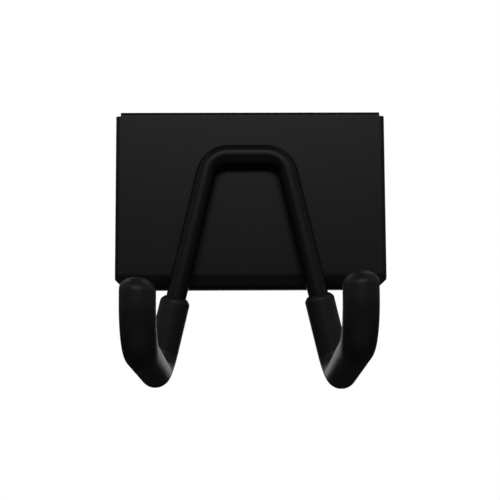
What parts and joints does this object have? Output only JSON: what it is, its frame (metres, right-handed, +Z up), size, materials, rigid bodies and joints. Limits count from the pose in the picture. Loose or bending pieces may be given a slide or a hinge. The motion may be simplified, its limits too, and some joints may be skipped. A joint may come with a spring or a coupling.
{
  "type": "magnetic prong hook",
  "caption": "Black folded steel pan with a magnetic back and a bent rod welded to its face, whose two splayed legs end in forward hooks with soft round-tipped sleeves.",
  "frame": {"origin": "centre of the grip pad's rear face, which lies on the steel surface that holds the hook", "axes": "+Z up as the hook hangs, +Y out of the back into the steel surface, prongs towards -Y, +X to the right seen from the front"},
  "size_m": [0.1024, 0.0891, 0.1041],
  "materials": {
    "pan_coat": "satin black powder coat",
    "rod_coat": "satin black powder coat",
    "vinyl": "semi-matt dip-moulded soft vinyl",
    "weld": "coated over",
    "ferrite": "ground sintered ferrite",
    "spacer": "moulded",
    "pad_rubber": "matt sheet"
  },
  "bodies": {
    "root": {"back_plate": "pan_coat", "hook_rod": "rod_coat", "left_sleeve": "vinyl", "right_sleeve": "vinyl", "weld_crossbar": "weld", "weld_left_upper": "weld", "weld_left_lower": "weld", "weld_right_upper": "weld", "weld_right_lower": "weld", "magnet_spacer": "spacer", "magnet_lower_1": "ferrite", "magnet_lower_2": "ferrite", "magnet_lower_3": "ferrite", "magnet_upper_1": "ferrite", "magnet_upper_2": "ferrite", "magnet_upper_3": "ferrite", "grip_pad": "pad_rubber"}
  },
  "joints": []
}
